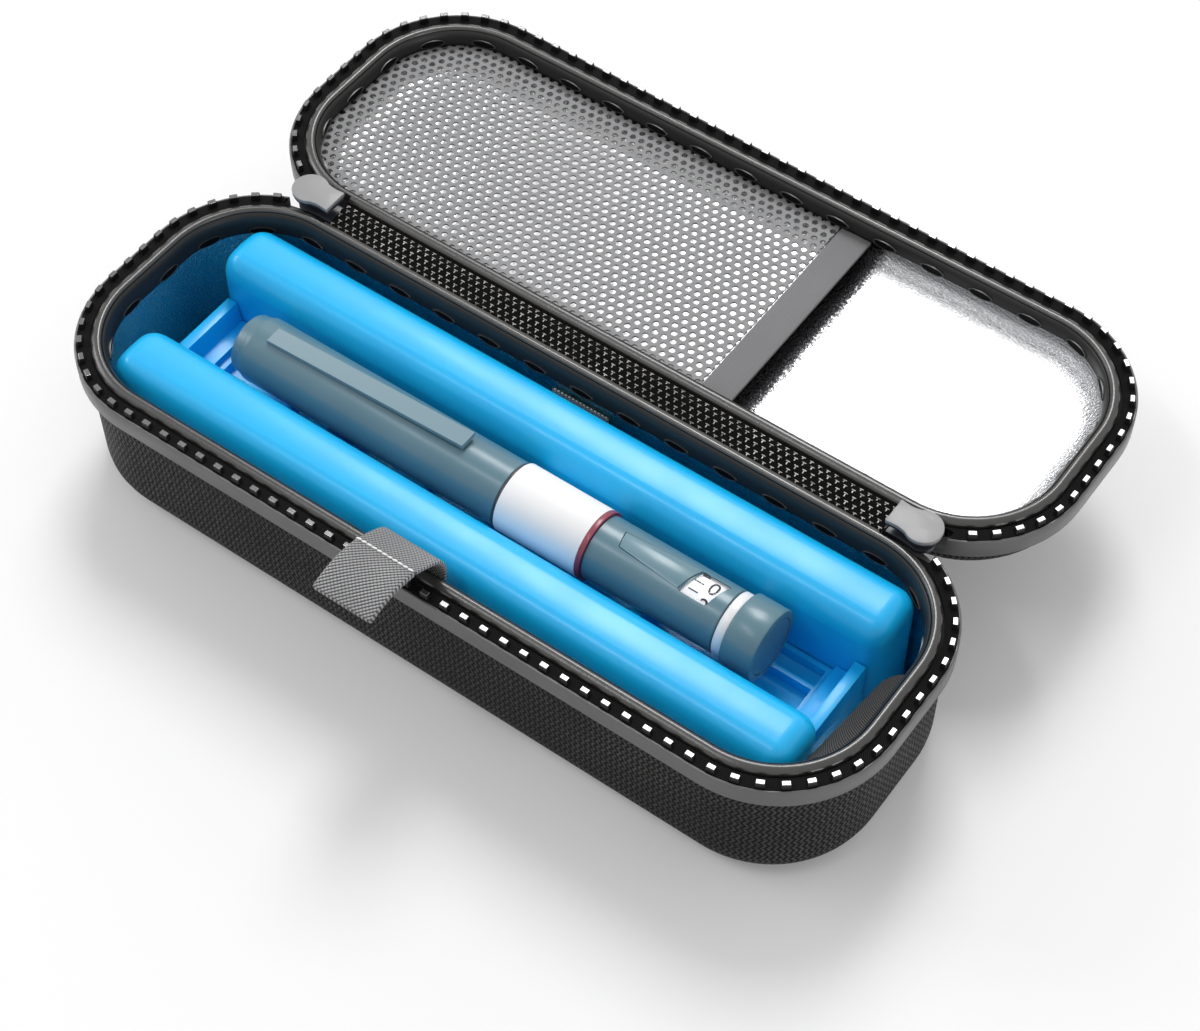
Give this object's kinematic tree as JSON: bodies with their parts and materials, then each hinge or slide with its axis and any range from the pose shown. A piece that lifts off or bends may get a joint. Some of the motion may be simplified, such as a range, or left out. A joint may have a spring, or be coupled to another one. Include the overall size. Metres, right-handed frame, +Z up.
{
  "type": "insulin cooling case",
  "caption": "Zipped insulated case for an injection pen, open flat, with a lift-out gel cooling tray, a pen in its trough and a net pocket in the lid.",
  "frame": {"origin": "centre of the flat face under the base", "axes": "+X along the case towards the dose knob, +Y from the base towards the opened lid, +Z up"},
  "size_m": [0.231, 0.1804, 0.0563],
  "materials": {
    "cover": "matt zigzag weave",
    "foam": "closed-cell foam, matt",
    "foil": "crinkled reflective film",
    "band": "satin woven tape",
    "bead": "satin piping",
    "tape": "zipper tape with moulded teeth",
    "binding": "matt binding with looped stitches",
    "strip": "woven strip with pale flecks",
    "slider": "satin grey",
    "net": "perforated mesh",
    "pocket_band": "fine weave",
    "strap": "diagonal twill webbing",
    "tag": "woven label, bare",
    "tray": "satin moulded plastic",
    "gel": "cooling gel",
    "pen": "satin moulded plastic",
    "label": "bare film label",
    "red_band": "printed ring",
    "window": "clear lens",
    "drum": "white with plain dose numbers",
    "collar": "white",
    "inner": "natural plastic",
    "clear": "clear",
    "rubber": "dull rubber",
    "crimp": "crimped"
  },
  "bodies": {
    "base": {"base_fabric_cover": "cover", "base_foam_shell": "foam", "base_foil_liner": "foil", "base_rim_band": "band", "base_zipper_tape": "tape", "base_bead": "bead", "base_binding": "binding", "label_tag": "tag", "hinge_strip": "strip"},
    "lid": {"lid_fabric_cover": "cover", "lid_foam_shell": "foam", "lid_foil_liner": "foil", "lid_rim_band": "band", "lid_zipper_tape": "tape", "lid_bead": "bead", "lid_binding": "binding", "mesh_pocket": "net", "pocket_band": "pocket_band"},
    "slider_right": {"slider_right": "slider"},
    "slider_left": {"slider_left": "slider"},
    "tray": {"bolster_rear": "tray", "bolster_front": "tray", "tray_bridge": "tray", "tray_base_plate": "tray", "gel_rear": "gel", "gel_front": "gel", "gel_bridge": "gel", "lift_strap": "strap", "pull_tab": "strap"},
    "pen": {"pen_barrel": "pen", "pen_label": "label", "pen_red_band": "red_band", "dose_window": "window", "cartridge_holder": "clear", "glass_cartridge": "clear", "crimp_seal": "crimp"},
    "plunger": {"rubber_plunger": "rubber", "piston_rod": "inner"},
    "dose_carriage": {"clutch_sleeve": "inner"},
    "dose_dial": {"number_drum": "drum", "dose_collar": "collar", "dose_knob": "pen"},
    "button": {"injection_button": "pen"},
    "cap": {"pen_cap": "pen", "cap_clip": "pen"}
  },
  "joints": [
    {"name": "lid_hinge", "type": "hinge", "parent": "base", "child": "lid", "pos_m": [0, 0.0409, 0.04415], "axis": [-1, 0, 0], "range_deg": [-180, 0], "deforming": ["hinge_strip", "pull_tab"]},
    {"name": "slider_right_swing", "type": "hinge", "parent": "base", "child": "slider_right", "pos_m": [0, 0.0409, 0.04415], "axis": [-1, 0, 0], "range_deg": [-90, 0]},
    {"name": "slider_left_swing", "type": "hinge", "parent": "base", "child": "slider_left", "pos_m": [0, 0.0409, 0.04415], "axis": [-1, 0, 0], "range_deg": [-90, 0]},
    {"name": "tray_lift", "type": "slide", "parent": "base", "child": "tray", "axis": [0, 0, 1], "range_m": [0, 0.06]},
    {"name": "pen_lift", "type": "slide", "parent": "tray", "child": "pen", "axis": [0, 0, 1], "range_m": [0, 0.05]},
    {"name": "cap_pull", "type": "slide", "parent": "pen", "child": "cap", "axis": [-1, 0, 0], "range_m": [0, 0.014]},
    {"name": "plunger_advance", "type": "slide", "parent": "pen", "child": "plunger", "axis": [-1, 0, 0], "range_m": [0, 0.054]},
    {"name": "dose_extend", "type": "slide", "parent": "pen", "child": "dose_carriage", "axis": [1, 0, 0], "range_m": [0, 0.01121]},
    {"name": "dose_turn", "type": "hinge", "parent": "dose_carriage", "child": "dose_dial", "pos_m": [0, 0, 0.03454], "axis": [1, 0, 0], "range_deg": [0, 360]},
    {"name": "button_press", "type": "slide", "parent": "dose_dial", "child": "button", "axis": [-1, 0, 0], "range_m": [0, 0.001], "stiffness_N_per_m": 400, "springref_m": -0.001}
  ],
  "couplings": [
    {"joint": "slider_right_swing", "follows": "lid_hinge", "ratio": 0.5},
    {"joint": "slider_left_swing", "follows": "lid_hinge", "ratio": 0.5},
    {"joint": "dose_extend", "follows": "dose_turn", "m_per_rad": 0.001782}
  ]
}
